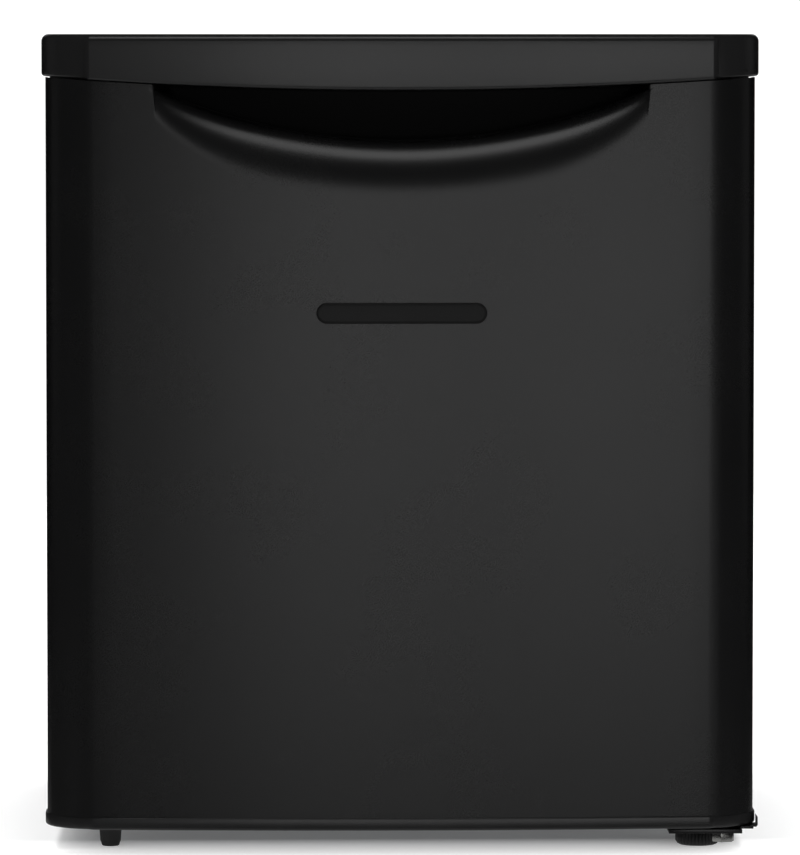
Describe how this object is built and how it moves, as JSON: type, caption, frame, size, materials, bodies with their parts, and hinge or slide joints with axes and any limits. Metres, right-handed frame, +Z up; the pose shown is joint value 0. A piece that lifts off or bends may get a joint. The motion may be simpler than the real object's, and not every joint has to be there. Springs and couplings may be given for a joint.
{
  "type": "compact refrigerator",
  "caption": "Free-standing compact fridge with a full-depth worktop, a bowed hinged door with a scooped grip, an ice box and a compressor in an open rear bay.",
  "frame": {"origin": "on the floor, under the middle of the whole object's box", "axes": "+Z up, -Y towards the person who opens the door (front), +X to their right, where the hinge is"},
  "size_m": [0.449, 0.472, 0.515],
  "materials": {
    "black_paint": "satin",
    "black_cabinet_paint": "satin",
    "worktop_plastic": "satin",
    "black_plastic": "satin",
    "black_gloss": "gloss",
    "white_liner": "satin",
    "white_plastic": "satin",
    "clear_tray": "satin",
    "insulation": "matte",
    "galvanised": "satin",
    "bright_steel": "satin",
    "chrome_bar": "polished",
    "ice_box_aluminium": "satin",
    "black_rubber": "matte",
    "gasket_rubber": "matte",
    "copper_tube": "satin",
    "motor_iron": "matte",
    "nylon": "satin",
    "white_wire": "gloss"
  },
  "bodies": {
    "cabinet": {"cabinet_shell": "black_cabinet_paint", "base_pan": "galvanised", "bay_shield": "galvanised", "back_panel": "black_cabinet_paint", "back_panel_screws": "bright_steel", "rear_cross_bar": "black_cabinet_paint", "inner_liner": "white_liner", "insulation_foam": "insulation", "worktop": "worktop_plastic", "overhang_panel": "black_plastic", "worktop_screws": "bright_steel", "upper_hinge_bracket": "black_paint", "upper_hinge_pin": "bright_steel", "upper_hinge_screws": "bright_steel", "lower_hinge_bracket": "black_paint", "lower_hinge_pin": "bright_steel", "lower_hinge_washer": "nylon", "lower_hinge_screws": "bright_steel", "front_left_foot": "black_rubber", "rear_feet": "black_rubber", "wall_spacers": "black_plastic", "leveller_nut": "bright_steel", "compressor_lower_shell": "black_paint", "compressor_upper_shell": "black_paint", "pump_motor": "motor_iron", "compressor_plate": "black_paint", "compressor_grommets": "black_rubber", "compressor_bolts": "bright_steel", "relay_cover": "black_plastic", "condenser_coil": "black_paint", "discharge_line": "copper_tube", "suction_line": "copper_tube", "filter_drier": "copper_tube", "cord_gland": "black_rubber", "evaporator": "ice_box_aluminium", "ice_box_frame": "white_plastic", "tray_rails": "white_plastic", "thermostat_housing": "white_plastic", "thermostat_body": "galvanised", "sensing_bulb": "copper_tube"},
    "door": {"door_skin": "black_paint", "door_top_cap": "black_plastic", "door_bottom_cap": "black_plastic", "door_foam": "insulation", "door_liner": "white_liner", "door_gasket": "gasket_rubber", "upper_hinge_bush": "nylon", "lower_hinge_bush": "nylon", "door_stop": "black_paint", "badge": "black_gloss", "cap_screws": "bright_steel", "lower_rack": "white_liner", "rack_bar": "chrome_bar", "upper_rack": "white_liner"},
    "flap": {"freezer_flap": "clear_tray"},
    "tray": {"drip_tray": "clear_tray"},
    "shelf": {"wire_shelf": "white_wire"},
    "knob": {"thermostat_knob": "white_plastic"},
    "level_stud": {"leveller_stud": "bright_steel"},
    "level_foot": {"leveller_foot": "black_plastic"}
  },
  "joints": [
    {"name": "door_hinge", "type": "hinge", "parent": "cabinet", "child": "door", "pos_m": [0.203, -0.2, 0.25], "axis": [0, 0, 1], "range_deg": [0, 125]},
    {"name": "flap_hinge", "type": "hinge", "parent": "cabinet", "child": "flap", "pos_m": [-0.035, -0.0535, 0.425], "axis": [-1, 0, 0], "range_deg": [0, 85]},
    {"name": "tray_slide", "type": "slide", "parent": "cabinet", "child": "tray", "axis": [0, -1, 0], "range_m": [0, 0.088]},
    {"name": "shelf_slide", "type": "slide", "parent": "cabinet", "child": "shelf", "axis": [0, -1, 0], "range_m": [0, 0.045]},
    {"name": "knob_turn", "type": "hinge", "parent": "cabinet", "child": "knob", "pos_m": [0.142, 0.01, 0.407], "axis": [0, 1, 0], "range_deg": [0, 300]},
    {"name": "leveller_slide", "type": "slide", "parent": "cabinet", "child": "level_stud", "axis": [0, 0, -1], "range_m": [0, 0.008]},
    {"name": "leveller_turn", "type": "hinge", "parent": "level_stud", "child": "level_foot", "pos_m": [0.19, -0.15, 0.005], "axis": [0, 0, -1], "range_deg": [0, 2305]}
  ],
  "couplings": [
    {"joint": "leveller_turn", "follows": "leveller_slide", "rad_per_m": 5026.5}
  ]
}
